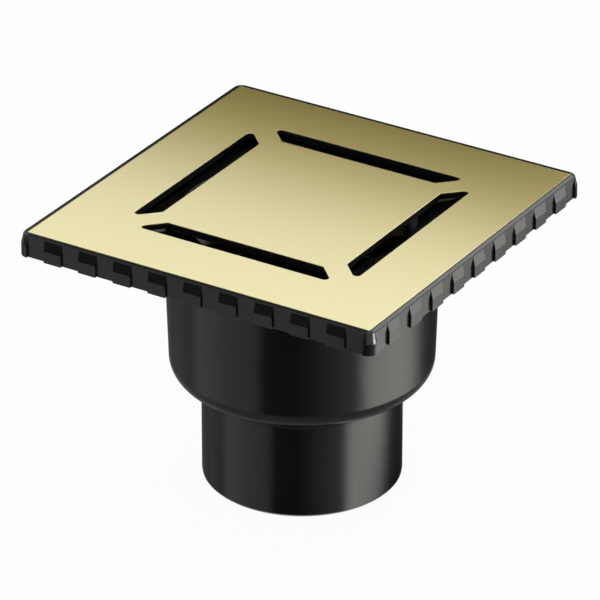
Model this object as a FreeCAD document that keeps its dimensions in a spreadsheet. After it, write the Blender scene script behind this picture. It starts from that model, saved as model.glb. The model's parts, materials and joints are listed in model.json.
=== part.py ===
import FreeCAD, Part
import math
import os
import re
import Sketcher

# Square floor drain with a trap insert and a vertical outlet, in millimetres.
# +Z is up. The origin is the middle of the spigot's lower end, on which the drain stands.

# Driving dimensions, by piece. Radii and depths are named as such; the rest are widths and heights.
SIZES = {
    # Grate: a thin metal sheet on a moulded carrier, with four mitred slots in a square ring
    "plate_side": 144.0,
    "plate_thickness": 0.6,
    "total_height": 111.3,
    "slot_centre": 43.5,
    "slot_width": 8.7,
    "bridge_width": 8.7,
    "slot_tip_radius": 1.6,
    "slot_inner_radius": 0.5,
    "carrier_inset": 0.4,
    "carrier_web": 1.8,
    "carrier_rib_depth": 1.8,
    "carrier_rib": 1.6,
    "rib_to_slot": 1.8,
    "pad_inset": 10.0,
    "pad_radius": 4.0,
    "pad_sunk": 1.1,
    "pad_proud": 0.5,
    "pad_socket_wall": 1.4,
    "pad_gap": 0.05,
    # Frame: rim and skirt with lugs, sunk deck, neck
    "plate_gap": 0.3,
    "rim_wall": 1.8,
    "rim_bevel_width": 1.6,
    "rim_bevel_depth": 0.4,
    "frame_corner_radius": 3.4,
    "skirt_depth": 9.0,
    "lug_margin": 14.5,
    "lug_count": 9,
    "lug_width": 7.6,
    "lug_reach": 0.9,
    "lug_slope_top": 0.6,
    "lug_slope_foot": 4.4,
    "lug_root": 0.6,
    "deck_thickness": 2.2,
    "deck_fall": 0.8,
    "deck_fall_inset": 5.0,
    "deck_rib": 1.6,
    "deck_rib_gap": 1.2,
    "neck_radius": 46.6,
    "neck_wall": 2.2,
    "neck_length": 29.0,
    "neck_lead_in": 0.8,
    "ledge_width": 1.5,
    "ledge_depth": 1.2,
    # Body: drafted upper cylinder, rounded shoulder, spigot
    "neck_play": 0.5,
    "neck_end_gap": 1.0,
    "body_wall": 4.0,
    "body_draft": 1.9,
    "body_step": 0.9,
    "shoulder_height": 41.8,
    "shoulder_floor": 2.8,
    "shoulder_share": 0.71,
    "shoulder_inner_bevel": 5.0,
    "spigot_radius": 37.5,
    "spigot_wall": 2.6,
    "spigot_end_bevel": 1.2,
    "groove_below_rim": 3.9,
    "groove_height": 4.2,
    "groove_depth": 1.8,
    # Seal between neck and body
    "seal_gap": 0.05,
    "seal_lip": 1.1,
    "seal_relief": 0.6,
    # Hair strainer
    "strainer_gap": 0.3,
    "basket_gap": 0.8,
    "basket_wall": 1.2,
    "basket_depth": 8.8,
    "basket_floor": 1.4,
    "strainer_slot": 3.2,
    "outer_slot_start": 24.0,
    "outer_slot_margin": 3.4,
    "outer_slot_count": 24,
    "inner_slot_start": 9.0,
    "inner_slot_end": 20.0,
    "inner_slot_count": 12,
    "lift_bar_width": 4.0,
    "lift_bar_height": 2.6,
    # Trap: cup, standpipe in its floor, valve holder hanging below in the spigot
    "cup_gap": 1.0,
    "cup_wall": 1.6,
    "cup_floor": 1.8,
    "cup_above_weir": 6.5,
    "cup_foot_bevel": 3.0,
    "pipe_bore_radius": 17.0,
    "pipe_wall": 1.8,
    "pipe_fit": 0.05,
    "holder_room": 3.3,
    "holder_wall": 2.0,
    "holder_length": 23.0,
    "holder_plate": 2.0,
    "collar_thickness": 1.5,
    "collar_gap": 0.5,
    "ring_height": 3.2,
    "ring_below_floor": 7.3,
    "ring_lip": 1.2,
    # Bell over the standpipe
    "bell_radius": 29.0,
    "bell_wall": 1.6,
    "bell_rim_height": 8.2,
    "bell_headroom": 6.8,
    "bell_below_strainer": 0.8,
    "bell_top_bevel": 3.0,
    "fin_thickness": 1.6,
    "fin_start": 10.0,
    "fin_overhang": 6.5,
    "fin_gap": 0.4,
    "loop_width": 20.0,
    "loop_height": 7.8,
    "loop_bar": 2.2,
    "loop_thickness": 3.0,
    # Valve under the standpipe: seat, two flaps on one pin, two springs
    "seat_reach": 4.0,
    "seat_gap": 0.05,
    "seat_bar": 5.0,
    "flap_lap": 2.2,
    "flap_thickness": 1.6,
    "flap_edge": 0.4,
    "flap_rib_height": 1.0,
    "flap_rib": 1.2,
    "knuckle_gap": 0.3,
    "pin_radius": 1.0,
    "pin_gap": 0.05,
    "knuckle_radius": 2.0,
    "knuckle_length": 4.0,
    "knuckle_inset": 3.2,
    "ear_inset": 0.55,
    "ear_thickness": 2.0,
    "ear_width": 6.0,
    "ear_below_pin": 2.5,
    "wire_radius": 0.3,
    "wire_sides": 6,
    "coil_radius": 1.55,
    "coil_turns": 3.25,
    "coil_steps": 12,
    "coil_pitch": 0.9,
    "coil_gap": 1.0,
    "flap_leg": 7.0,
    "ear_leg": 3.2,
}

# Places worked out from the sizes
PLACES = {
    "sheet_bottom": "total_height - plate_thickness",
    "web_bottom": "sheet_bottom - carrier_web",
    "rib_bottom": "web_bottom - carrier_rib_depth",
    "deck_top": "rib_bottom - pad_proud",
    "deck_bottom": "deck_top - deck_thickness",
    "pad_centre": "plate_side / 2 - pad_inset",
    "skirt_bottom": "total_height - skirt_depth",
    "recess_half": "plate_side / 2 + plate_gap",
    "wall_half": "recess_half + rim_wall",
    "lug_half": "wall_half + lug_reach",
    "post_centre": "wall_half - frame_corner_radius",
    "lug_pitch": "2 * (wall_half - lug_margin) / (lug_count - 1)",
    "deck_fall_radius": "plate_side / 2 - deck_fall_inset",
    "mouth_level": "deck_top - deck_fall",
    "ledge_level": "mouth_level - ledge_depth",
    "neck_bore": "neck_radius - neck_wall",
    "neck_bottom": "deck_bottom - neck_length",
    "body_bore_radius": "neck_radius + neck_play",
    "body_top_radius": "body_bore_radius + body_wall",
    "body_foot_radius": "body_top_radius - body_draft",
    "groove_top": "deck_bottom - groove_below_rim",
    "groove_bottom": "groove_top - groove_height",
    "groove_radius": "body_bore_radius + groove_depth",
    "body_inner_radius": "body_bore_radius - body_step",
    "bore_bottom": "neck_bottom - neck_end_gap",
    "floor_level": "shoulder_height + shoulder_floor",
    "spigot_bore": "spigot_radius - spigot_wall",
    "shoulder_radius": "(body_foot_radius - spigot_radius) * shoulder_share",
    "strainer_radius": "neck_bore + ledge_width - strainer_gap",
    "basket_radius": "neck_bore - basket_gap",
    "basket_bottom": "ledge_level - basket_depth",
    "basket_floor_top": "basket_bottom + basket_floor",
    "outer_slot_end": "basket_radius - basket_wall - outer_slot_margin",
    "loop_top": "basket_bottom - bell_below_strainer",
    "bell_top": "loop_top - loop_height",
    "bell_ceiling": "bell_top - bell_wall",
    "bell_rim": "floor_level + bell_rim_height",
    "weir_level": "bell_ceiling - bell_headroom",
    "cup_radius": "neck_bore - cup_gap",
    "cup_floor_top": "floor_level + cup_floor",
    "cup_top": "weir_level + cup_above_weir",
    "pipe_radius": "pipe_bore_radius + pipe_wall",
    "holder_radius": "spigot_bore - holder_room",
    "collar_outer_radius": "spigot_bore - collar_gap",
    "holder_bottom": "floor_level - holder_length",
    "ring_top": "floor_level - ring_below_floor + ring_height / 2",
    "ring_bottom": "floor_level - ring_below_floor - ring_height / 2",
    "seat_level": "floor_level - holder_plate",
    "seat_outer_radius": "pipe_bore_radius + seat_reach",
    "flap_underside": "seat_level - flap_thickness",
    "flap_radius": "pipe_bore_radius + flap_lap",
    "hinge_drop": "knuckle_radius + knuckle_gap",
    "hinge_level": "flap_underside - hinge_drop",
    "far_knuckle": "flap_radius - knuckle_inset - knuckle_length",
    "near_knuckle": "far_knuckle / 2",
    "ear_start": "seat_outer_radius + seat_gap + ear_inset",
    "coil_start": "far_knuckle + knuckle_length + coil_gap",
    "slot_near": "slot_centre - slot_width / 2",
    "slot_far": "slot_centre + slot_width / 2",
    "mitre_shift": "bridge_width / sqrt(2)",
}

doc = FreeCAD.newDocument("floor_drain")
sheet = doc.addObject("Spreadsheet::Sheet", "Sizes")
for row, (alias, value) in enumerate(SIZES.items(), start=1):
    sheet.set("A%d" % row, alias)
    sheet.set("B%d" % row, str(value))
    sheet.setAlias("B%d" % row, alias)
doc.recompute()


# Two lengths in millimetres, or two directions, that differ by less than this are the same
CLOSE = 1e-3

# Helpers: every length is a formula in the names above, bound to the sheet

def formula(text):
    def spell_out(match):
        word = match.group(0)
        if word in PLACES:
            return "(" + formula(PLACES[word]) + ")"
        return "Sizes." + word if word in SIZES else word

    return re.sub(r"[a-z_]+", spell_out, text)


def number(text):
    return float(sheet.evalExpression(formula(text)))


def new_body(label):
    body = doc.addObject("PartDesign::Body", label)
    body.Label = label
    return body


def origin_feature(body, role):
    return next(part for part in body.Origin.OriginFeatures if part.Role == role)


def new_sketch(body, role, level="0"):
    sketch = body.newObject("Sketcher::SketchObject", "sketch")
    sketch.AttachmentSupport = [(origin_feature(body, role), "")]
    sketch.MapMode = "FlatFace"
    sketch.setExpression("AttachmentOffset.Base.z", formula(level))
    return sketch


def bind(sketch, kind, first, point, text):
    index = sketch.addConstraint(Sketcher.Constraint(kind, -1, 1, first, point, number(text)))
    sketch.setExpression("Constraints[%d]" % index, formula(text))


def add_outline(sketch, corners):
    points = [FreeCAD.Vector(number(across), number(up), 0) for across, up in corners]
    first = sketch.GeometryCount
    count = len(points)
    for index, point in enumerate(points):
        sketch.addGeometry(Part.LineSegment(point, points[(index + 1) % count]))
    for index, (across, up) in enumerate(corners):
        following = first + (index + 1) % count
        sketch.addConstraint(Sketcher.Constraint("Coincident", first + index, 2, following, 1))
        bind(sketch, "DistanceX", first + index, 1, across)
        bind(sketch, "DistanceY", first + index, 1, up)


def add_rectangle(sketch, left, low, right, high):
    add_outline(sketch, [(left, low), (right, low), (right, high), (left, high)])


def add_square(sketch, half):
    add_rectangle(sketch, "-(%s)" % half, "-(%s)" % half, half, half)


def add_circle(sketch, across, up, radius):
    middle = FreeCAD.Vector(number(across), number(up), 0)
    index = sketch.addGeometry(Part.Circle(middle, FreeCAD.Vector(0, 0, 1), number(radius)))
    bind(sketch, "DistanceX", index, 3, across)
    bind(sketch, "DistanceY", index, 3, up)
    rule = sketch.addConstraint(Sketcher.Constraint("Radius", index, number(radius)))
    sketch.setExpression("Constraints[%d]" % rule, formula(radius))


def pad(body, sketch, length, down=False, both_ways=False):
    feature = body.newObject("PartDesign::Pad", "pad")
    feature.Profile = sketch
    feature.setExpression("Length", formula(length))
    feature.Reversed = down
    feature.SideType = "Symmetric" if both_ways else "One side"
    doc.recompute()
    return feature


def pocket(body, sketch, depth, upwards=False, both_ways=False):
    before = body.Shape.Volume
    feature = body.newObject("PartDesign::Pocket", "pocket")
    feature.Profile = sketch
    feature.setExpression("Length", formula(depth))
    feature.Reversed = upwards
    feature.SideType = "Symmetric" if both_ways else "One side"
    doc.recompute()
    if body.Shape.Volume >= before:
        raise ValueError("a pocket in %s cuts nothing" % body.Label)
    return feature


def turn(body, corners, cut=False):
    """Revolves an outline of (radius, height) corners about the vertical axis."""
    sketch = new_sketch(body, "XZ_Plane")
    add_outline(sketch, corners)
    before = body.Shape.Volume if cut else 0
    feature = body.newObject("PartDesign::Groove" if cut else "PartDesign::Revolution", "turned")
    feature.Profile = sketch
    feature.ReferenceAxis = (origin_feature(body, "Z_Axis"), [""])
    feature.Angle = 360
    doc.recompute()
    if cut and body.Shape.Volume >= before:
        raise ValueError("a groove in %s cuts nothing" % body.Label)
    return feature


def repeat_round(body, feature, count):
    """Repeats a feature at even angles about the vertical axis."""
    pattern = body.newObject("PartDesign::PolarPattern", "pattern")
    pattern.Originals = [feature]
    pattern.Axis = (origin_feature(body, "Z_Axis"), [""])
    pattern.Angle = 360
    pattern.Occurrences = count
    body.Tip = pattern
    doc.recompute()
    return pattern


def round_edges(body, radius, wanted):
    """Rounds the edges of the body's tip for which wanted(edge) is true."""
    base = body.Tip
    names = ["Edge%d" % (i + 1) for i, edge in enumerate(base.Shape.Edges) if wanted(edge)]
    if not names:
        raise ValueError("no edge to round in %s" % body.Label)
    feature = body.newObject("PartDesign::Fillet", "rounding")
    feature.Base = (base, names)
    feature.setExpression("Radius", formula(radius))
    doc.recompute()
    return feature


def is_upright(edge):
    return len(edge.Vertexes) == 2 and abs(abs(edge.tangentAt(edge.FirstParameter).z) - 1) < CLOSE


def is_ring_at(edge, radius, height):
    if not isinstance(edge.Curve, Part.Circle):
        return False
    same_radius = abs(edge.Curve.Radius - number(radius)) < CLOSE
    return same_radius and abs(edge.Curve.Center.z - number(height)) < CLOSE


# Grate

def add_slots(body, level, depth):
    """Four slots in a square ring, mitred at 45 degrees so that straight bridges stay between them."""
    sketch = new_sketch(body, "XY_Plane", level)
    add_outline(sketch, [
        ("-(slot_near - mitre_shift)", "-slot_near"),
        ("-(slot_far - mitre_shift)", "-slot_far"),
        ("slot_far - mitre_shift", "-slot_far"),
        ("slot_near - mitre_shift", "-slot_near"),
    ])
    repeat_round(body, pocket(body, sketch, depth), 4)
    far, near, shift = number("slot_far"), number("slot_near"), number("mitre_shift")

    def is_corner(edge, reach):
        if not is_upright(edge):
            return False
        place = edge.Vertexes[0].Point
        sides = sorted([abs(place.x), abs(place.y)])
        return abs(sides[1] - reach) < CLOSE and abs(sides[0] - (reach - shift)) < CLOSE

    round_edges(body, "slot_tip_radius", lambda edge: is_corner(edge, far))
    round_edges(body, "slot_inner_radius", lambda edge: is_corner(edge, near))


def make_cover_plate():
    body = new_body("cover_plate")
    sketch = new_sketch(body, "XY_Plane", "sheet_bottom")
    add_square(sketch, "plate_side / 2")
    pad(body, sketch, "plate_thickness")
    add_slots(body, "total_height", "plate_thickness")
    return body


def make_grate_carrier():
    body = new_body("grate_carrier")
    half = "plate_side / 2 - carrier_inset"
    sketch = new_sketch(body, "XY_Plane", "web_bottom")
    add_square(sketch, half)
    pad(body, sketch, "carrier_web")
    add_slots(body, "sheet_bottom", "carrier_web")

    # Three square ribs below the web: round the edge, outside the slots and inside them
    sketch = new_sketch(body, "XY_Plane", "web_bottom")
    add_square(sketch, half)
    add_square(sketch, half + " - carrier_rib")
    add_square(sketch, "slot_far + rib_to_slot + carrier_rib")
    add_square(sketch, "slot_far + rib_to_slot")
    add_square(sketch, "slot_near - rib_to_slot")
    add_square(sketch, "slot_near - rib_to_slot - carrier_rib")
    pad(body, sketch, "carrier_rib_depth", down=True)

    # Ribs across: over each bridge to the corner, and out from the middle of each side
    sketch = new_sketch(body, "XY_Plane", "web_bottom")
    add_outline(sketch, [
        ("slot_near - rib_to_slot - carrier_rib", "slot_near - rib_to_slot"),
        ("slot_near - rib_to_slot", "slot_near - rib_to_slot - carrier_rib"),
        ("pad_centre", "pad_centre - carrier_rib"),
        ("pad_centre - carrier_rib", "pad_centre"),
    ])
    repeat_round(body, pad(body, sketch, "carrier_rib_depth", down=True), 4)
    sketch = new_sketch(body, "XY_Plane", "web_bottom")
    add_rectangle(sketch, "slot_far + rib_to_slot", "-carrier_rib / 2", half, "carrier_rib / 2")
    repeat_round(body, pad(body, sketch, "carrier_rib_depth", down=True), 4)
    sketch = new_sketch(body, "XY_Plane", "web_bottom")
    inner = "slot_near - rib_to_slot"
    add_rectangle(sketch, "-(%s)" % inner, "-carrier_rib / 2", inner, "carrier_rib / 2")
    repeat_round(body, pad(body, sketch, "carrier_rib_depth", down=True), 2)

    # Sockets for the rubber pads, near the corners
    sketch = new_sketch(body, "XY_Plane", "web_bottom")
    add_circle(sketch, "pad_centre", "pad_centre", "pad_radius + pad_gap + pad_socket_wall")
    repeat_round(body, pad(body, sketch, "carrier_rib_depth", down=True), 4)
    sketch = new_sketch(body, "XY_Plane", "rib_bottom")
    add_circle(sketch, "pad_centre", "pad_centre", "pad_radius + pad_gap")
    repeat_round(body, pocket(body, sketch, "pad_sunk", upwards=True), 4)
    return body


def make_grate_pads():
    """Four equal rubber pads, kept together as one node."""
    body = new_body("grate_pads")
    sketch = new_sketch(body, "XY_Plane", "deck_top")
    for across in ("pad_centre", "-pad_centre"):
        for up in ("pad_centre", "-pad_centre"):
            add_circle(sketch, across, up, "pad_radius")
    body.AllowCompound = True
    pad(body, sketch, "pad_proud + pad_sunk")
    return body


# Frame

def add_lugs(body):
    """Lugs along each side: the upper half slopes out from the rim, the lower half is upright."""
    first = "-lug_pitch * (lug_count - 1) / 2"
    sketch = new_sketch(body, "YZ_Plane", first)
    add_outline(sketch, [
        ("-(wall_half - lug_root)", "skirt_bottom"),
        ("-lug_half", "skirt_bottom"),
        ("-lug_half", "total_height - lug_slope_foot"),
        ("-wall_half", "total_height - lug_slope_top"),
        ("-(wall_half - lug_root)", "total_height - lug_slope_top"),
    ])
    lug = pad(body, sketch, "lug_width", both_ways=True)
    along = body.newObject("PartDesign::LinearPattern", "along")
    along.Direction = (origin_feature(body, "X_Axis"), [""])
    along.setExpression("Length", formula("lug_pitch * (lug_count - 1)"))
    along.Occurrences = int(SIZES["lug_count"])
    around = body.newObject("PartDesign::PolarPattern", "around")
    around.Axis = (origin_feature(body, "Z_Axis"), [""])
    around.Angle = 360
    around.Occurrences = 4
    lugs = body.newObject("PartDesign::MultiTransform", "lugs")
    lugs.Originals = [lug]
    lugs.Transformations = [along, around]
    body.Tip = lugs
    doc.recompute()


def add_corner_lugs(body):
    """The same lug bent round each corner: a quarter turn of the side lugs' outline."""
    sketch = new_sketch(body, "XZ_Plane", "-post_centre")
    sketch.setExpression("AttachmentOffset.Base.x", formula("post_centre"))
    add_outline(sketch, [
        ("0", "skirt_bottom"),
        ("frame_corner_radius + lug_reach", "skirt_bottom"),
        ("frame_corner_radius + lug_reach", "total_height - lug_slope_foot"),
        ("frame_corner_radius", "total_height - lug_slope_top"),
        ("0", "total_height - lug_slope_top"),
    ])
    corner = body.newObject("PartDesign::Revolution", "corner")
    corner.Profile = sketch
    corner.ReferenceAxis = (sketch, ["V_Axis"])
    corner.Angle = 90
    doc.recompute()
    repeat_round(body, corner, 4)


def bevel_rim(body):
    """Lets the rim's top fall outwards all round."""
    base = body.Tip
    names = ["Edge%d" % (i + 1) for i, edge in enumerate(base.Shape.Edges)
             if edge.BoundBox.ZMin > number("total_height") - CLOSE]
    feature = body.newObject("PartDesign::Chamfer", "bevel")
    feature.Base = (base, names)
    feature.ChamferType = "Two distances"
    feature.setExpression("Size", formula("rim_bevel_depth"))
    feature.setExpression("Size2", formula("rim_bevel_width"))
    doc.recompute()


def make_top_frame():
    body = new_body("top_frame")
    sketch = new_sketch(body, "XY_Plane", "skirt_bottom")
    add_square(sketch, "wall_half")
    pad(body, sketch, "skirt_depth")
    round_edges(body, "frame_corner_radius", is_upright)
    bevel_rim(body)
    add_corner_lugs(body)

    # Recess for the grate above the deck, and the hollow inside the skirt below it
    sketch = new_sketch(body, "XY_Plane", "total_height")
    add_square(sketch, "recess_half")
    pocket(body, sketch, "total_height - deck_top")
    sketch = new_sketch(body, "XY_Plane", "skirt_bottom")
    add_square(sketch, "recess_half")
    pocket(body, sketch, "deck_bottom - skirt_bottom", upwards=True)

    # Ribs under the deck, from outside the body's rim to the skirt
    sketch = new_sketch(body, "XY_Plane", "skirt_bottom")
    add_rectangle(sketch, "body_top_radius + deck_rib_gap", "-deck_rib / 2",
                  "recess_half + lug_root", "deck_rib / 2")
    repeat_round(body, pad(body, sketch, "deck_bottom - skirt_bottom"), 4)
    sketch = new_sketch(body, "XY_Plane", "skirt_bottom")
    start = "(body_top_radius + deck_rib_gap) / sqrt(2)"
    across = "deck_rib / sqrt(2) / 2"
    add_outline(sketch, [
        (start + " - " + across, start + " + " + across),
        (start + " + " + across, start + " - " + across),
        ("recess_half + " + across, "recess_half - " + across),
        ("recess_half - " + across, "recess_half + " + across),
    ])
    repeat_round(body, pad(body, sketch, "deck_bottom - skirt_bottom"), 4)

    # Neck, then its bore with the strainer's ledge, and the deck's fall to it
    turn(body, [
        ("0", "neck_bottom"),
        ("neck_radius - neck_lead_in", "neck_bottom"),
        ("neck_radius", "neck_bottom + neck_lead_in"),
        ("neck_radius", "deck_top"),
        ("0", "deck_top"),
    ])
    turn(body, [
        ("0", "neck_bottom - neck_lead_in"),
        ("neck_bore", "neck_bottom - neck_lead_in"),
        ("neck_bore", "ledge_level"),
        ("neck_bore + ledge_width", "ledge_level"),
        ("neck_bore + ledge_width", "mouth_level"),
        ("deck_fall_radius", "deck_top"),
        ("0", "deck_top"),
    ], cut=True)
    add_lugs(body)
    return body


# Body

def make_drain_body():
    body = new_body("drain_body")
    turn(body, [
        ("spigot_bore", "0"),
        ("spigot_radius - spigot_end_bevel", "0"),
        ("spigot_radius", "spigot_end_bevel"),
        ("spigot_radius", "shoulder_height"),
        ("body_foot_radius", "shoulder_height"),
        ("body_top_radius", "deck_bottom"),
        ("body_bore_radius + neck_lead_in", "deck_bottom"),
        ("body_bore_radius", "deck_bottom - neck_lead_in"),
        ("body_bore_radius", "groove_top"),
        ("groove_radius", "groove_top"),
        ("groove_radius", "groove_bottom"),
        ("body_bore_radius", "groove_bottom"),
        ("body_bore_radius", "bore_bottom"),
        ("body_inner_radius", "bore_bottom - body_step"),
        ("body_inner_radius", "floor_level + shoulder_inner_bevel"),
        ("body_inner_radius - shoulder_inner_bevel", "floor_level"),
        ("spigot_bore", "floor_level"),
    ])
    round_edges(body, "shoulder_radius",
                lambda edge: is_ring_at(edge, "body_foot_radius", "shoulder_height"))
    return body


def make_neck_seal():
    """Rubber ring with two lips towards the neck, in the groove of the body's mouth."""
    body = new_body("neck_seal")
    lip = "neck_radius + seal_gap"
    back = "groove_radius - seal_gap"
    relief = "neck_radius + seal_gap + seal_relief"
    turn(body, [
        (lip, "groove_bottom + seal_gap"),
        (back, "groove_bottom + seal_gap"),
        (back, "groove_top - seal_gap"),
        (lip, "groove_top - seal_gap"),
        (lip, "groove_top - seal_gap - seal_lip"),
        (relief, "groove_top - seal_gap - seal_lip"),
        (relief, "groove_bottom + seal_gap + seal_lip"),
        (lip, "groove_bottom + seal_gap + seal_lip"),
    ])
    return body


# Strainer

def make_hair_strainer():
    body = new_body("hair_strainer")
    turn(body, [
        ("0", "basket_bottom"),
        ("basket_radius", "basket_bottom"),
        ("basket_radius", "ledge_level"),
        ("strainer_radius", "ledge_level"),
        ("strainer_radius", "mouth_level"),
        ("basket_radius - basket_wall", "mouth_level"),
        ("basket_radius - basket_wall", "basket_floor_top"),
        ("0", "basket_floor_top"),
    ])
    for start, end, count in (("outer_slot_start", "outer_slot_end", "outer_slot_count"),
                              ("inner_slot_start", "inner_slot_end", "inner_slot_count")):
        sketch = new_sketch(body, "XY_Plane", "basket_floor_top")
        add_rectangle(sketch, start, "-strainer_slot / 2", end, "strainer_slot / 2")
        repeat_round(body, pocket(body, sketch, "basket_floor"), int(SIZES[count]))
    sketch = new_sketch(body, "XY_Plane", "mouth_level")
    reach = "basket_radius - basket_wall / 2"
    add_rectangle(sketch, "-lift_bar_width / 2", "-(%s)" % reach, "lift_bar_width / 2", reach)
    pad(body, sketch, "lift_bar_height", down=True)
    return body


# Trap

def make_trap_cup():
    """Cup that holds the water. It stands on the body's floor."""
    body = new_body("trap_cup")
    turn(body, [
        ("pipe_radius + pipe_fit", "floor_level"),
        ("cup_radius - cup_foot_bevel", "floor_level"),
        ("cup_radius", "floor_level + cup_foot_bevel"),
        ("cup_radius", "cup_top"),
        ("cup_radius - cup_wall", "cup_top"),
        ("cup_radius - cup_wall", "cup_floor_top + cup_foot_bevel"),
        ("cup_radius - cup_wall - cup_foot_bevel", "cup_floor_top"),
        ("pipe_radius + pipe_fit", "cup_floor_top"),
    ])
    return body


def make_standpipe():
    """Tube pressed into the cup's floor. Its rim is the weir that sets the water's level."""
    body = new_body("standpipe")
    turn(body, [
        ("pipe_bore_radius", "floor_level"),
        ("pipe_radius", "floor_level"),
        ("pipe_radius", "weir_level"),
        ("pipe_bore_radius", "weir_level"),
    ])
    return body


def make_valve_holder():
    """Tube below the cup, with a groove for its sealing ring and two ears for the flaps' pin."""
    body = new_body("valve_holder")
    turn(body, [
        ("seat_outer_radius + seat_gap", "seat_level"),
        ("holder_radius - holder_wall", "seat_level"),
        ("holder_radius - holder_wall", "holder_bottom"),
        ("holder_radius", "holder_bottom"),
        ("holder_radius", "ring_bottom - seal_gap - collar_thickness"),
        ("collar_outer_radius", "ring_bottom - seal_gap - collar_thickness"),
        ("collar_outer_radius", "ring_bottom - seal_gap"),
        ("holder_radius", "ring_bottom - seal_gap"),
        ("holder_radius", "ring_top + seal_gap"),
        ("collar_outer_radius", "ring_top + seal_gap"),
        ("collar_outer_radius", "floor_level"),
        ("seat_outer_radius + seat_gap", "floor_level"),
    ])
    for side in ("", "-"):
        sketch = new_sketch(body, "XZ_Plane", "%s(ear_start + ear_thickness / 2)" % side)
        add_rectangle(sketch, "-ear_width / 2", "hinge_level - ear_below_pin",
                      "ear_width / 2", "seat_level + holder_plate / 2")
        pad(body, sketch, "ear_thickness", both_ways=True)
    sketch = new_sketch(body, "XZ_Plane")
    add_circle(sketch, "0", "hinge_level", "pin_radius + pin_gap")
    pocket(body, sketch, "2 * (ear_start + ear_thickness + ear_width)", both_ways=True)
    return body


def make_trap_seal():
    """Rubber ring in the holder's groove, with a lip towards the spigot's bore."""
    body = new_body("trap_seal")
    inner = "holder_radius + seal_gap"
    outer = "spigot_bore - seal_gap"
    turn(body, [
        (inner, "ring_bottom"),
        (outer + " - ring_lip", "ring_bottom"),
        (outer, "ring_bottom + ring_lip"),
        (outer, "ring_top - ring_lip"),
        (outer + " - ring_lip", "ring_top"),
        (inner, "ring_top"),
    ])
    return body


def make_trap_bell():
    """Bell over the standpipe. Its fins sit on the standpipe's rim and keep it in the middle."""
    body = new_body("trap_bell")
    turn(body, [
        ("bell_radius - bell_wall", "bell_rim"),
        ("bell_radius", "bell_rim"),
        ("bell_radius", "bell_top - bell_top_bevel"),
        ("bell_radius - bell_top_bevel", "bell_top"),
        ("0", "bell_top"),
        ("0", "bell_ceiling"),
        ("bell_radius - bell_wall - bell_top_bevel", "bell_ceiling"),
        ("bell_radius - bell_wall", "bell_ceiling - bell_top_bevel"),
    ])
    sketch = new_sketch(body, "XZ_Plane")
    add_outline(sketch, [
        ("fin_start", "bell_top - bell_wall / 2"),
        ("fin_start", "weir_level"),
        ("pipe_radius + fin_gap", "weir_level"),
        ("pipe_radius + fin_gap", "weir_level - fin_overhang"),
        ("bell_radius - bell_wall / 2", "weir_level - fin_overhang"),
        ("bell_radius - bell_wall / 2", "bell_ceiling - bell_top_bevel"),
        ("bell_radius - bell_wall / 2 - bell_top_bevel", "bell_top - bell_wall / 2"),
    ])
    repeat_round(body, pad(body, sketch, "fin_thickness", both_ways=True), 4)

    # Loop on top to lift the bell out by
    half, top = "loop_width / 2", "loop_top"
    sketch = new_sketch(body, "XZ_Plane")
    add_outline(sketch, [
        ("-" + half, "bell_top - bell_wall / 2"),
        (half, "bell_top - bell_wall / 2"),
        (half, top + " - loop_bar"),
        (half + " - loop_bar", top),
        ("-(" + half + " - loop_bar)", top),
        ("-" + half, top + " - loop_bar"),
    ])
    pad(body, sketch, "loop_thickness", both_ways=True)
    sketch = new_sketch(body, "XZ_Plane")
    add_rectangle(sketch, "-(" + half + " - loop_bar)", "bell_top",
                  half + " - loop_bar", top + " - loop_bar")
    pocket(body, sketch, "2 * loop_thickness", both_ways=True)
    return body


# Valve

def make_valve_seat():
    body = new_body("valve_seat")
    turn(body, [
        ("pipe_bore_radius", "seat_level"),
        ("seat_outer_radius", "seat_level"),
        ("seat_outer_radius", "floor_level"),
        ("pipe_bore_radius", "floor_level"),
    ])
    sketch = new_sketch(body, "XY_Plane", "seat_level")
    reach = "(pipe_bore_radius + seat_outer_radius) / 2"
    add_rectangle(sketch, "-seat_bar / 2", "-(%s)" % reach, "seat_bar / 2", reach)
    pad(body, sketch, "holder_plate")
    return body


def make_flap(label, half_turn):
    """Half-round flap with two knuckles on the pin. The other flap is the same, turned half round."""
    body = new_body(label)
    sketch = new_sketch(body, "XY_Plane", "flap_underside")
    add_circle(sketch, "0", "0", "flap_radius")
    pad(body, sketch, "flap_thickness")
    sketch = new_sketch(body, "XY_Plane", "seat_level")
    add_rectangle(sketch, "-(flap_radius + flap_edge)", "-(flap_radius + flap_edge)",
                  "flap_edge", "flap_radius + flap_edge")
    pocket(body, sketch, "flap_thickness")

    sketch = new_sketch(body, "XY_Plane", "flap_underside")
    add_rectangle(sketch, "knuckle_radius", "-flap_rib / 2", "flap_radius - flap_rib", "flap_rib / 2")
    pad(body, sketch, "flap_rib_height", down=True)

    for middle in ("-(far_knuckle + knuckle_length / 2)", "near_knuckle + knuckle_length / 2"):
        level = "-(%s)" % middle
        sketch = new_sketch(body, "XZ_Plane", level)
        add_rectangle(sketch, "flap_edge", "hinge_level", "knuckle_radius",
                      "flap_underside + flap_thickness / 2")
        pad(body, sketch, "knuckle_length", both_ways=True)
        sketch = new_sketch(body, "XZ_Plane", level)
        add_circle(sketch, "0", "hinge_level", "knuckle_radius")
        pad(body, sketch, "knuckle_length", both_ways=True)
    sketch = new_sketch(body, "XZ_Plane")
    add_circle(sketch, "0", "hinge_level", "pin_radius + pin_gap")
    pocket(body, sketch, "2 * flap_radius", both_ways=True)
    if half_turn:
        body.Placement = FreeCAD.Placement(FreeCAD.Vector(), FreeCAD.Rotation(180, 0, 0))
    return body


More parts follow.
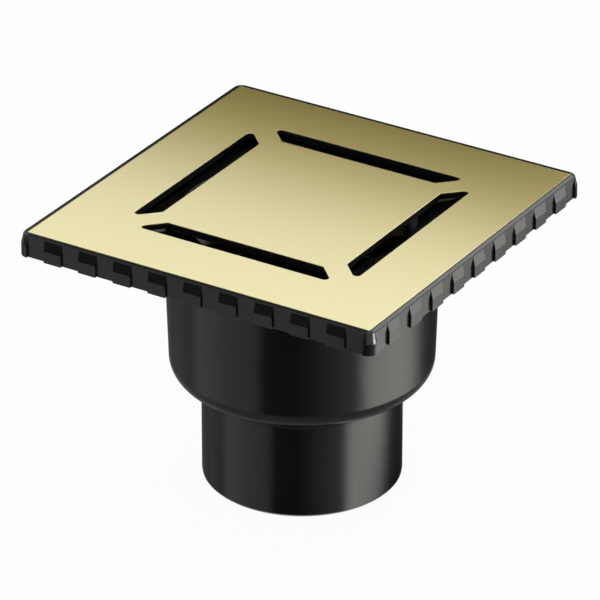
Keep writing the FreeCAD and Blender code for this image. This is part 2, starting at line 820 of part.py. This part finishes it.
def make_flap_pin():
    pin = doc.addObject("Part::Cylinder", "flap_pin")
    pin.Label = "flap_pin"
    pin.setExpression("Radius", formula("pin_radius"))
    pin.setExpression("Height", formula("2 * (ear_start + ear_thickness)"))
    pin.Placement.Rotation = FreeCAD.Rotation(FreeCAD.Vector(1, 0, 0), 90)
    pin.setExpression("Placement.Base.y", formula("ear_start + ear_thickness"))
    pin.setExpression("Placement.Base.z", formula("hinge_level"))
    return pin


def make_spring(label, half_turn):
    """Coil round the pin: a long leg under the flap, a short one down beside the pin's ear.

    The wire is bent in short straight runs, a fixed number to a turn, and its section is a hexagon.
    The coil's axis is the wire's own Z, and both legs leave it at a tangent.
    """
    radius, pitch, steps = number("coil_radius"), number("coil_pitch"), int(number("coil_steps"))
    points = []
    for step in range(int(number("coil_turns") * steps) + 1):
        turned = 2 * math.pi * step / steps
        points.append(FreeCAD.Vector(radius * math.cos(turned), radius * math.sin(turned),
                                     pitch * step / steps))
    out = FreeCAD.Vector(0, -1, 0) * number("flap_leg")
    down = FreeCAD.Vector(-points[-1].y, points[-1].x, 0).normalize() * number("ear_leg")
    path = Part.makePolygon([points[0] + out] + points + [points[-1] + down])
    section = Part.Circle(points[0] + out, out, number("wire_radius"))
    corners = section.discretize(Number=int(number("wire_sides")) + 1)
    solid, frenet, mitred = True, False, 1
    wire = path.makePipeShell([Part.makePolygon(corners)], solid, frenet, mitred)

    # Laid along the pin with the long leg out under the flap, tilted up until it meets it
    lift = number("hinge_drop - coil_radius - wire_radius - pin_gap")
    tilt = math.degrees(math.asin(lift / number("flap_leg")))
    upright = FreeCAD.Rotation(FreeCAD.Vector(0, 0, 1), FreeCAD.Vector(-1, 0, 0),
                               FreeCAD.Vector(0, -1, 0), "XYZ")
    tilted = FreeCAD.Rotation(FreeCAD.Vector(0, 1, 0), -tilt)
    place = FreeCAD.Placement(FreeCAD.Vector(0, -number("coil_start"), number("hinge_level")),
                              tilted * upright)
    if half_turn:
        place = FreeCAD.Placement(FreeCAD.Vector(), FreeCAD.Rotation(180, 0, 0)) * place
    spring = doc.addObject("Part::Feature", label)
    spring.Label = label
    spring.Shape = wire
    spring.Placement = place
    return spring


nodes = [
    make_cover_plate(),
    make_grate_carrier(),
    make_grate_pads(),
    make_top_frame(),
    make_drain_body(),
    make_neck_seal(),
    make_hair_strainer(),
    make_trap_cup(),
    make_standpipe(),
    make_valve_holder(),
    make_trap_seal(),
    make_trap_bell(),
    make_valve_seat(),
    make_flap("flap_right", False),
    make_flap("flap_left", True),
    make_flap_pin(),
    make_spring("spring_right", False),
    make_spring("spring_left", True),
]
doc.recompute()

for item in doc.Objects:
    if "Invalid" in item.State or "Error" in item.State:
        owners = [owner.Label for owner in item.InList]
        raise ValueError("%s of %s failed: %s" % (item.Label, owners, item.getStatusString()))
for node in nodes:
    if node.Shape.isNull() or not node.Shape.isValid():
        raise ValueError("%s has no valid shape" % node.Label)

os.makedirs("parts", exist_ok=True)
for node in nodes:
    node.Shape.exportStep("parts/%s.step" % node.Label)
    box = node.Shape.BoundBox
    print("%-14s volume %9.1f  z %6.2f to %6.2f  solids %d" % (
        node.Label, node.Shape.Volume, box.ZMin, box.ZMax, len(node.Shape.Solids)))
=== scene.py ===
import json
import math

import bpy
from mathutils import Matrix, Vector

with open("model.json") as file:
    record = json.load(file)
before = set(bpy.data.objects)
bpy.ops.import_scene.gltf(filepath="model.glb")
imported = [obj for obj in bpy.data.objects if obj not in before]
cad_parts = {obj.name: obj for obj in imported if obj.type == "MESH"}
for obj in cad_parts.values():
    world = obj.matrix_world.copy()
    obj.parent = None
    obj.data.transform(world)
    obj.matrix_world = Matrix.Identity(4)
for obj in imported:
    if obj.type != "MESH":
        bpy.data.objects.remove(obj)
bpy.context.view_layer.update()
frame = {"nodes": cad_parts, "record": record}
nodes = frame["nodes"]
bpy.context.scene.view_settings.view_transform = "Standard"
print("frame loaded:", len(nodes), "pieces")


# Camera

cameraView = {
    "aim": (-0.0007, -0.0004, 0.0711),   # the point at the middle of the picture
    "azimuthDeg": 31.68,
    "elevationDeg": 27.78,
    "distance": 1.926,
    "lensMm": 313.7,
    "sensorMm": 36.0,
    "nearest": 0.05,
    "farthest": 50.0,
}


def makeCamera(settings):
    turn = math.radians(settings["azimuthDeg"])
    rise = math.radians(settings["elevationDeg"])
    back = Vector((math.sin(turn) * math.cos(rise), -math.cos(turn) * math.cos(rise), math.sin(rise)))
    data = bpy.data.cameras.new("photoCamera")
    data.sensor_width = settings["sensorMm"]
    data.lens = settings["lensMm"]
    data.clip_start = settings["nearest"]
    data.clip_end = settings["farthest"]
    camera = bpy.data.objects.new("photoCamera", data)
    camera.location = Vector(settings["aim"]) + back * settings["distance"]
    camera.rotation_euler = (-back).to_track_quat("-Z", "Y").to_euler()
    bpy.context.scene.collection.objects.link(camera)
    bpy.context.scene.camera = camera


makeCamera(cameraView)
print("camera placed")


# Node groups that several materials share

noiseDetail = {"grain": 3.0, "tone": 2.0}


def mathNode(tree, link, operation, *values):   # each value is a number or the socket that gives it
    node = tree.new("ShaderNodeMath")
    node.operation = operation
    for slot, value in zip(node.inputs, values):
        if isinstance(value, float):
            slot.default_value = value
        else:
            link(value, slot)
    return node.outputs[0]


def addSocket(group, name, kind, isInput=True, value=None):
    way = "INPUT" if isInput else "OUTPUT"
    socket = group.interface.new_socket(name=name, in_out=way, socket_type=kind)
    if value is not None:
        socket.default_value = value


def surfaceNoise(tree, link, scale, detail):   # noise fixed to the piece: as it comes, and about zero
    coords = tree.new("ShaderNodeTexCoord")
    noise = tree.new("ShaderNodeTexNoise")
    noise.inputs["Detail"].default_value = detail
    link(coords.outputs["Object"], noise.inputs["Vector"])
    link(scale, noise.inputs["Scale"])
    return noise.outputs["Fac"], mathNode(tree, link, "SUBTRACT", noise.outputs["Fac"], 0.5)


def fineGrainGroup():   # the grain of a moulded or blasted surface
    group = bpy.data.node_groups.new("fineGrain", "ShaderNodeTree")
    addSocket(group, "Scale", "NodeSocketFloat", value=1500.0)
    addSocket(group, "Roughness", "NodeSocketFloat", value=0.3)
    addSocket(group, "Spread", "NodeSocketFloat", value=0.05)
    addSocket(group, "Roughness", "NodeSocketFloat", isInput=False)
    addSocket(group, "Height", "NodeSocketFloat", isInput=False)
    tree, link = group.nodes, group.links.new
    entry = tree.new("NodeGroupInput").outputs
    leave = tree.new("NodeGroupOutput").inputs
    height, centred = surfaceNoise(tree, link, entry["Scale"], noiseDetail["grain"])
    rough = mathNode(tree, link, "MULTIPLY_ADD", centred, entry["Spread"], entry["Roughness"])
    link(rough, leave["Roughness"])
    link(height, leave["Height"])
    return group


def softToneGroup():   # a broad, faint drift of tone over a surface
    group = bpy.data.node_groups.new("softTone", "ShaderNodeTree")
    addSocket(group, "Colour", "NodeSocketColor", value=(0.5, 0.5, 0.5, 1.0))
    addSocket(group, "Scale", "NodeSocketFloat", value=25.0)
    addSocket(group, "Drift", "NodeSocketFloat", value=0.05)
    addSocket(group, "Colour", "NodeSocketColor", isInput=False)
    tree, link = group.nodes, group.links.new
    entry = tree.new("NodeGroupInput").outputs
    leave = tree.new("NodeGroupOutput").inputs
    centred = surfaceNoise(tree, link, entry["Scale"], noiseDetail["tone"])[1]
    level = mathNode(tree, link, "MULTIPLY_ADD", centred, entry["Drift"], 1.0)
    tinted = tree.new("ShaderNodeVectorMath")
    tinted.operation = "SCALE"
    link(entry["Colour"], tinted.inputs[0])
    link(level, tinted.inputs["Scale"])
    link(tinted.outputs[0], leave["Colour"])
    return group


fineGrain = fineGrainGroup()
softTone = softToneGroup()


# Materials

plainLook = {   # what a look has where it says nothing else
    "metallic": 0.0, "specular": 0.5, "toneScale": 25.0, "toneDrift": 0.06,
    "grainScale": 1500.0, "roughnessSpread": 0.06, "bumpDepth": 0.0001,
}
looks = {
    "gold_sheet": {"colour": (0.89, 0.81, 0.43), "metallic": 1.0, "roughness": 0.26,
                   "roughnessSpread": 0.04, "bump": 0.04, "grainScale": 2600.0, "toneDrift": 0.02},
    "frame_black": {"colour": (0.0052, 0.0052, 0.0056), "roughness": 0.22, "bump": 0.04},
    "body_black": {"colour": (0.0048, 0.0048, 0.0052), "roughness": 0.18, "bump": 0.03},
    "insert_grey": {"colour": (0.30, 0.32, 0.34), "roughness": 0.38, "bump": 0.05},
    "flap_white": {"colour": (0.72, 0.72, 0.70), "roughness": 0.35, "bump": 0.04},
    "seal_rubber": {"colour": (0.030, 0.030, 0.032), "roughness": 0.62, "specular": 0.35, "bump": 0.12},
    "seat_silicone": {"colour": (0.60, 0.61, 0.60), "roughness": 0.50, "specular": 0.4, "bump": 0.06},
    "spring_steel": {"colour": (0.62, 0.62, 0.63), "metallic": 1.0, "roughness": 0.24, "bump": 0.03},
}


def finishMaterial(name, look):   # a toned colour, a grained roughness and a shallow bump
    material = bpy.data.materials.new(name)
    material.use_nodes = True
    tree, link = material.node_tree.nodes, material.node_tree.links.new
    shader = tree["Principled BSDF"]
    shader.inputs["Metallic"].default_value = look["metallic"]
    shader.inputs["Specular IOR Level"].default_value = look["specular"]
    tone = tree.new("ShaderNodeGroup")
    tone.node_tree = softTone
    tone.inputs["Colour"].default_value = (*look["colour"], 1.0)
    tone.inputs["Scale"].default_value = look["toneScale"]
    tone.inputs["Drift"].default_value = look["toneDrift"]
    link(tone.outputs["Colour"], shader.inputs["Base Color"])
    grain = tree.new("ShaderNodeGroup")
    grain.node_tree = fineGrain
    grain.inputs["Scale"].default_value = look["grainScale"]
    grain.inputs["Roughness"].default_value = look["roughness"]
    grain.inputs["Spread"].default_value = look["roughnessSpread"]
    link(grain.outputs["Roughness"], shader.inputs["Roughness"])
    bump = tree.new("ShaderNodeBump")
    bump.inputs["Strength"].default_value = look["bump"]
    bump.inputs["Distance"].default_value = look["bumpDepth"]
    link(grain.outputs["Height"], bump.inputs["Height"])
    link(bump.outputs["Normal"], shader.inputs["Normal"])
    return material


materials = {name: finishMaterial(name, {**plainLook, **look}) for name, look in looks.items()}
slotOf = {part["node"]: part["material_slot"] for part in frame["record"]["subparts"]}
for name, node in nodes.items():
    node.data.materials.clear()
    node.data.materials.append(materials[slotOf[name]])
print("materials made:", len(materials))


# Edges: each moulded or pressed piece gets a small round along its sharp edges

edgeRounds = {   # radius of the round in metres
    "cover_plate": 0.00010,
    "top_frame": 0.00030,
    "grate_carrier": 0.00015,
    "drain_body": 0.00030,
    "trap_cup": 0.00025,
    "standpipe": 0.00020,
    "valve_holder": 0.00020,
    "valve_seat": 0.00015,
    "trap_bell": 0.00025,
    "hair_strainer": 0.00020,
    "flap_right": 0.00015,
    "flap_left": 0.00015,
}
edgeFinish = {
    "weldGap": 1e-6,
    "segments": 2,
    "sharpDeg": 40,        # only edges sharper than this are rounded
    "flatWeight": 100,     # how far large faces keep flat beside the rounds
    "levelClimb": 0.10,    # an edge that climbs less than this share of its length is a level one
    "climbBlend": 0.01,
    "plainDeg": 28,        # shading is smooth over edges gentler than this
    "crispDeg": 8,         # and over level edges of the crisp pieces than this
    "crispPieces": ("top_frame", "cover_plate"),   # their slopes and tops stay flat up to the edges
}


def smoothingGroup(name, finish, levelDeg):   # shades a mesh smooth, apart from its sharper edges
    group = bpy.data.node_groups.new(name, "GeometryNodeTree")
    group.is_modifier = True
    addSocket(group, "Geometry", "NodeSocketGeometry")
    addSocket(group, "Geometry", "NodeSocketGeometry", isInput=False)
    tree, link = group.nodes, group.links.new
    entry = tree.new("NodeGroupInput")
    leave = tree.new("NodeGroupOutput")
    faces = tree.new("GeometryNodeSetShadeSmooth")
    edges = tree.new("GeometryNodeSetShadeSmooth")
    edges.domain = "EDGE"
    ends = tree.new("GeometryNodeInputMeshEdgeVertices")
    along = tree.new("ShaderNodeVectorMath")
    along.operation = "SUBTRACT"
    link(ends.outputs["Position 1"], along.inputs[0])
    link(ends.outputs["Position 2"], along.inputs[1])
    unit = tree.new("ShaderNodeVectorMath")
    unit.operation = "NORMALIZE"
    link(along.outputs["Vector"], unit.inputs[0])
    parts = tree.new("ShaderNodeSeparateXYZ")
    link(unit.outputs["Vector"], parts.inputs["Vector"])
    limit = tree.new("ShaderNodeMapRange")   # from the level edges' angle to that of the rest
    limit.inputs["From Min"].default_value = finish["levelClimb"]
    limit.inputs["From Max"].default_value = finish["levelClimb"] + finish["climbBlend"]
    limit.inputs["To Min"].default_value = math.radians(levelDeg)
    limit.inputs["To Max"].default_value = math.radians(finish["plainDeg"])
    link(mathNode(tree, link, "ABSOLUTE", parts.outputs["Z"]), limit.inputs["Value"])
    angle = tree.new("GeometryNodeInputMeshEdgeAngle")
    gentle = tree.new("FunctionNodeCompare")
    gentle.operation = "LESS_EQUAL"
    link(entry.outputs["Geometry"], faces.inputs["Geometry"])
    link(faces.outputs["Geometry"], edges.inputs["Geometry"])
    link(angle.outputs["Unsigned Angle"], gentle.inputs[0])
    link(limit.outputs["Result"], gentle.inputs[1])
    link(gentle.outputs["Result"], edges.inputs["Shade Smooth"])
    link(edges.outputs["Geometry"], leave.inputs["Geometry"])
    return group


smoothPlain = smoothingGroup("smoothPlain", edgeFinish, edgeFinish["plainDeg"])
smoothCrisp = smoothingGroup("smoothCrisp", edgeFinish, edgeFinish["crispDeg"])


def finishEdges(node, radius, finish):
    weld = node.modifiers.new("weld", "WELD")
    weld.merge_threshold = finish["weldGap"]
    if radius:
        bevel = node.modifiers.new("edgeRound", "BEVEL")
        bevel.width = radius
        bevel.segments = finish["segments"]
        bevel.limit_method = "ANGLE"
        bevel.angle_limit = math.radians(finish["sharpDeg"])
        bevel.use_clamp_overlap = True
    shade = node.modifiers.new("smoothByAngle", "NODES")
    shade.node_group = smoothCrisp if node.name in finish["crispPieces"] else smoothPlain
    flat = node.modifiers.new("flatFaces", "WEIGHTED_NORMAL")
    flat.mode = "FACE_AREA"
    flat.weight = finish["flatWeight"]
    flat.keep_sharp = True


for name, node in nodes.items():
    finishEdges(node, edgeRounds.get(name), edgeFinish)
print("edges rounded")


# Stage: floor, world, lamp

stage = {
    "floorSize": 14.0,
    "floorColour": (0.92, 0.92, 0.92),
    "floorGlow": 0.96,   # share of plain white that the camera and gloss see; the rest keeps the shadow
    "worldLight": 0.75,
    "keyPower": 1.5,
    "keyPlace": (-0.15, 1.20, 1.15),
    "keyAim": (0, 0, 0.08),
    "keySize": 0.5,
}


def stageObject(name, mesh):
    piece = bpy.data.objects.new(name, mesh)
    bpy.context.scene.collection.objects.link(piece)
    return piece


def backgroundRays(tree, link):   # 1 for rays from the camera, and for those off or through the object
    path = tree.new("ShaderNodeLightPath").outputs
    direct = mathNode(tree, link, "MAXIMUM", path["Is Camera Ray"], path["Is Glossy Ray"])
    return mathNode(tree, link, "MAXIMUM", direct, path["Is Transmission Ray"])


def makeFloor(settings):
    half = settings["floorSize"] / 2
    corners = [(-half, -half, 0), (half, -half, 0), (half, half, 0), (-half, half, 0)]
    mesh = bpy.data.meshes.new("floor")
    mesh.from_pydata(corners, [], [(0, 1, 2, 3)])
    stageObject("floor", mesh)
    material = bpy.data.materials.new("floor")
    material.use_nodes = True
    tree, link = material.node_tree.nodes, material.node_tree.links.new
    tree.remove(tree["Principled BSDF"])
    paper = tree.new("ShaderNodeBsdfDiffuse")
    paper.inputs["Color"].default_value = (*settings["floorColour"], 1.0)
    glow = tree.new("ShaderNodeEmission")
    glow.inputs["Color"].default_value = (1, 1, 1, 1)
    mix = tree.new("ShaderNodeMixShader")
    share = mathNode(tree, link, "MULTIPLY", backgroundRays(tree, link), settings["floorGlow"])
    link(share, mix.inputs["Fac"])
    link(paper.outputs["BSDF"], mix.inputs[1])
    link(glow.outputs["Emission"], mix.inputs[2])
    link(mix.outputs["Shader"], tree["Material Output"].inputs["Surface"])
    mesh.materials.append(material)


def makeWorld(settings):
    world = bpy.data.worlds.new("studio")
    bpy.context.scene.world = world
    world.use_nodes = True
    tree, link = world.node_tree.nodes, world.node_tree.links.new
    shine = tree["Background"]
    shine.inputs["Color"].default_value = (1, 1, 1, 1)
    level = tree.new("ShaderNodeMapRange")
    level.inputs["To Min"].default_value = settings["worldLight"]
    level.inputs["To Max"].default_value = 1.0
    link(backgroundRays(tree, link), level.inputs["Value"])
    link(level.outputs["Result"], shine.inputs["Strength"])


def makeKeyLamp(settings):
    data = bpy.data.lights.new("keyLamp", "AREA")
    data.shape = "SQUARE"
    data.size = settings["keySize"]
    data.energy = settings["keyPower"]
    lamp = bpy.data.objects.new("keyLamp", data)
    lamp.location = settings["keyPlace"]
    way = Vector(settings["keyAim"]) - Vector(settings["keyPlace"])
    lamp.rotation_euler = way.to_track_quat("-Z", "Y").to_euler()
    lamp.visible_camera = False
    bpy.context.scene.collection.objects.link(lamp)


makeFloor(stage)
makeWorld(stage)
makeKeyLamp(stage)
print("floor, world and lamp set")


# Sheets, flags and cards round the drain. Only gloss sees them, so the white floor stays as it is.

def cardMaterial(name, colour, strength):
    material = bpy.data.materials.new(name)
    material.use_nodes = True
    tree, link = material.node_tree.nodes, material.node_tree.links.new
    tree.remove(tree["Principled BSDF"])
    glow = tree.new("ShaderNodeEmission")
    glow.inputs["Color"].default_value = (*colour, 1.0)
    glow.inputs["Strength"].default_value = strength
    link(glow.outputs["Emission"], tree["Material Output"].inputs["Surface"])
    material.cycles.emission_sampling = "NONE"
    return material


def reflectionOnly(card):
    card.visible_camera = False
    card.visible_diffuse = False
    card.visible_shadow = False
    card.visible_transmission = False


def glowSheet(name, points, glow, faces, colour):   # shines by the level given for each point
    mesh = bpy.data.meshes.new(name)
    mesh.from_pydata(points, [], faces)
    level = mesh.attributes.new("glow", "FLOAT", "POINT")
    level.data.foreach_set("value", glow)
    piece = stageObject(name, mesh)
    material = cardMaterial(name, colour, 1.0)
    tree, link = material.node_tree.nodes, material.node_tree.links.new
    read = tree.new("ShaderNodeAttribute")
    read.attribute_name = "glow"
    link(read.outputs["Fac"], tree["Emission"].inputs["Strength"])
    mesh.materials.append(material)
    reflectionOnly(piece)
    return material


def levelAt(levels, turn):
    stops = sorted(levels)
    for low, high in zip(stops, stops[1:]):
        if turn <= high:
            share = (turn - low) / (high - low)
            return levels[low] * (1 - share) + levels[high] * share
    return levels[stops[-1]]


warmWhite = (1.0, 0.985, 0.94)

# A sheet that lies on the table round the drain. Each line of the fan leaves the round body
# in the direction in which the wall there mirrors the camera.
tableSheet = {
    "colour": warmWhite,
    "inner": 0.038,
    "rows": {0.0: 1.0, 0.06: 0.0, 0.50: 0.0},   # share of the foot's shade at each distance out
    "footShade": {-148: 0.0, 95: 0.0, 140: 0.55, 212: 0.55},
    "height": 0.0006,
    "stepDeg": 3,
    "levels": {   # brightness by direction: 0 degrees is out from the -Y side, 90 from the +X side
        -148: 0.10, -108: 0.12, -100: 0.19, -74: 0.24, -64: 0.58, -48: 0.60, -14: 0.50, -8: 0.42,
        0: 0.05, 26: 0.03, 40: 0.12, 58: 0.32, 74: 0.46, 79: 0.80, 87: 2.7, 94: 3.2, 112: 3.0,
        122: 2.6, 130: 2.1, 137: 1.4, 146: 0.6, 154: 0.18, 170: 0.05, 212: 0.08,
    },
}


def makeTableSheet(sheet, view):
    stops = sorted(sheet["levels"])
    rows = sheet["rows"]
    points, glow, faces = [], [], []
    for turn in range(stops[0], stops[-1] + 1, sheet["stepDeg"]):
        leave = math.radians((turn + view["azimuthDeg"]) / 2)
        start = Vector((math.sin(leave), -math.cos(leave), 0)) * sheet["inner"]
        away = Vector((math.sin(math.radians(turn)), -math.cos(math.radians(turn)), 0))
        for out, share in rows.items():
            point = start + away * out
            points.append((point.x, point.y, sheet["height"]))
            glow.append(levelAt(sheet["levels"], turn) * (1 - share * levelAt(sheet["footShade"], turn)))
    count, width = len(points), len(rows)
    for i in range(count):   # the last line joins the first
        if (i + 1) % width:
            faces.append([i, i + 1, (i + 1 + width) % count, (i + width) % count])
    glowSheet("tableSheet", points, glow, faces, sheet["colour"])


# A second sheet over its far part, for the frame's flat +X side: its upright faces mirror the near edge
# and the slopes of its lugs the rest.
sideSheet = {
    "colour": warmWhite,
    "levels": {0.170: 1.0, 0.179: 1.05, 0.187: 1.7, 0.30: 3.3, 0.50: 3.5},   # brightness by x
    "near": 0.085,
    "far": 0.62,
    "farShare": 0.8,   # of the near edge's brightness
    "height": 0.0012,
}


def makeSideSheet(sheet):
    points, glow = [], []
    for x, level in sheet["levels"].items():
        points += [(x, sheet["near"], sheet["height"]), (x, sheet["far"], sheet["height"])]
        glow += [level, level * sheet["farShare"]]
    faces = [(i, i + 2, i + 3, i + 1) for i in range(0, len(points) - 2, 2)]
    glowSheet("sideSheet", points, glow, faces, sheet["colour"])


# A warm flag behind the grate: the far side of the gold mirrors it, the near side looks over it.
# Its dark lower part is what the back and left slopes of the rim mirror.
goldFlag = {
    "colour": (1.0, 0.78, 0.04),
    "levels": {0.085: 0.0, 0.150: 0.01, 0.172: 0.07, 0.187: 0.13, 0.228: 0.34},   # brightness by height
    "left": -0.60,
    "middle": -0.12,
    "right": 0.02,
    "y": 0.20,
    "tilt": 0.042,   # how much it rises to the left of its middle
}


def makeGoldFlag(flag):
    points, glow = [], []
    for height, level in flag["levels"].items():
        for x in (flag["left"], flag["right"]):
            points.append((x, flag["y"], height + (flag["middle"] - x) * flag["tilt"]))
            glow.append(level)
    faces = [(i, i + 1, i + 3, i + 2) for i in range(0, len(points) - 2, 2)]
    glowSheet("goldFlag", points, glow, faces, flag["colour"])


# A funnel under the body: the round of its shoulder mirrors it, and the spigot looks out beneath it.
footRing = {
    "colour": warmWhite,
    "inner": (0.0435, 0.0340),   # radius and height
    "outer": (0.095, 0.0085),
    "level": 0.26,
    "sides": 48,
}


def topSideOnly(material):   # rays that meet the sheet from below go through
    tree, link = material.node_tree.nodes, material.node_tree.links.new
    side = tree.new("ShaderNodeNewGeometry")
    clear = tree.new("ShaderNodeBsdfTransparent")
    mix = tree.new("ShaderNodeMixShader")
    link(side.outputs["Backfacing"], mix.inputs["Fac"])
    link(tree["Emission"].outputs["Emission"], mix.inputs[1])
    link(clear.outputs["BSDF"], mix.inputs[2])
    link(mix.outputs["Shader"], tree["Material Output"].inputs["Surface"])


def makeFootRing(ring):
    points = []
    for side in range(ring["sides"]):
        turn = math.tau * side / ring["sides"]
        for radius, height in (ring["inner"], ring["outer"]):
            points.append((radius * math.cos(turn), radius * math.sin(turn), height))
    count = len(points)
    faces = [(i, i + 1, (i + 3) % count, (i + 2) % count) for i in range(0, count, 2)]
    topSideOnly(glowSheet("footRing", points, [ring["level"]] * count, faces, ring["colour"]))


cards = {
    "goldGlow": {   # above the flag: it lifts the near side of the gold a little
        "corners": [(-0.50, 0.26, 0.265), (-0.05, 0.26, 0.265), (-0.05, 0.26, 0.36), (-0.50, 0.26, 0.36)],
        "colour": (0.97, 0.99, 1.14), "strength": 1.12,
    },
    "lugFlag": {   # low, in front and to the left: the sloped halves of the lugs mirror it
        "corners": [(-0.95, -0.10, 0.002), (0.20, -0.62, 0.002), (0.20, -0.62, 0.18), (-0.95, -0.10, 0.18)],
        "colour": (1.0, 1.0, 1.0), "strength": 0.03,
    },
    "roofFlag": {   # overhead, behind and to the left: the front slope of the frame's rim mirrors it
        "corners": [(-0.74, 0.24, 0.95), (-0.28, 0.24, 0.95), (-0.28, 0.58, 0.95), (-0.74, 0.58, 0.95)],
        "colour": (1.0, 1.0, 1.0), "strength": 0.03,
    },
    "cornerCard": {   # low and to the right: it makes the highlight on the front corner
        "corners": [(0.60, -0.15, 0.03), (0.60, 0.03, 0.03), (0.60, 0.03, 0.16), (0.60, -0.15, 0.16)],
        "colour": (1.0, 1.0, 1.0), "strength": 22.0,
    },
}


def makeCard(name, card):
    mesh = bpy.data.meshes.new(name)
    mesh.from_pydata(card["corners"], [], [(0, 1, 2, 3)])
    piece = stageObject(name, mesh)
    mesh.materials.append(cardMaterial(name, card["colour"], card["strength"]))
    reflectionOnly(piece)


makeTableSheet(tableSheet, cameraView)
makeSideSheet(sideSheet)
makeGoldFlag(goldFlag)
makeFootRing(footRing)
for name, card in cards.items():
    makeCard(name, card)
print("sheets and cards set")
